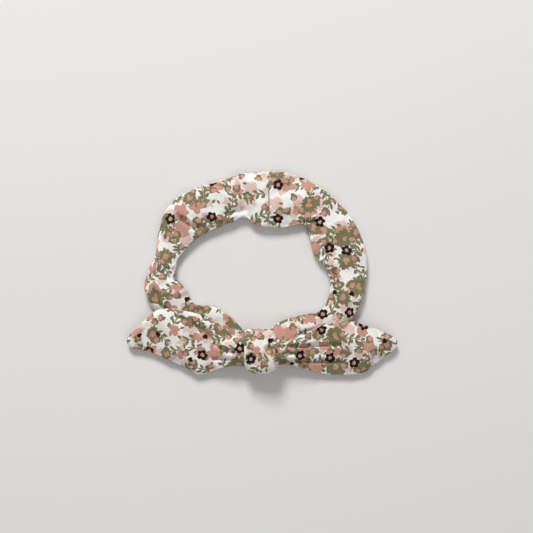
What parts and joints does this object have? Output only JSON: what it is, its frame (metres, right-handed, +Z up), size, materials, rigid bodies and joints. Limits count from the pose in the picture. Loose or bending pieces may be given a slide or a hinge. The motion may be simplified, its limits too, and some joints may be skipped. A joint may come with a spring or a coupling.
{
  "type": "knotted fabric headband",
  "caption": "Soft printed-cotton headband: a flat sewn ring tied in a front knot with two pointed tails, which lift, and a ring that folds in half.",
  "frame": {"origin": "middle of the headband's plan, on the table it lies on", "axes": "+Z up off the table, the bow towards -Y, the centre-back seam towards +Y, the left tail towards -X"},
  "size_m": [0.271, 0.2038, 0.0277],
  "materials": {
    "printed_cotton": "matte woven cotton, ivory ground with a small pink, olive and black flower print",
    "interlining": "soft unprinted wadding",
    "thread": "matte spun thread"
  },
  "bodies": {
    "front": {"left_strap_face": "printed_cotton", "left_strap_lining": "printed_cotton", "left_strap_interlining": "interlining", "right_strap_face": "printed_cotton", "right_strap_lining": "printed_cotton", "right_strap_interlining": "interlining", "knot_wrap": "printed_cotton", "knot_core": "printed_cotton"},
    "back": {"left_back_face": "printed_cotton", "left_back_lining": "printed_cotton", "left_back_interlining": "interlining", "right_back_face": "printed_cotton", "right_back_lining": "printed_cotton", "right_back_interlining": "interlining", "centre_back_stitches": "thread"},
    "left_tail": {"left_tail_face": "printed_cotton", "left_tail_lining": "printed_cotton", "left_tail_interlining": "interlining"},
    "right_tail": {"right_tail_face": "printed_cotton", "right_tail_lining": "printed_cotton", "right_tail_interlining": "interlining"}
  },
  "joints": [
    {"name": "ring_fold", "type": "hinge", "parent": "front", "child": "back", "pos_m": [0, 0.038, 0.0132], "axis": [1, 0, 0], "range_deg": [0, 175]},
    {"name": "left_tail_lift", "type": "hinge", "parent": "front", "child": "left_tail", "pos_m": [-0.0195, -0.079, 0.022], "axis": [0, 1, 0], "range_deg": [0, 90]},
    {"name": "right_tail_lift", "type": "hinge", "parent": "front", "child": "right_tail", "pos_m": [0.0195, -0.079, 0.022], "axis": [0, -1, 0], "range_deg": [0, 90]}
  ]
}
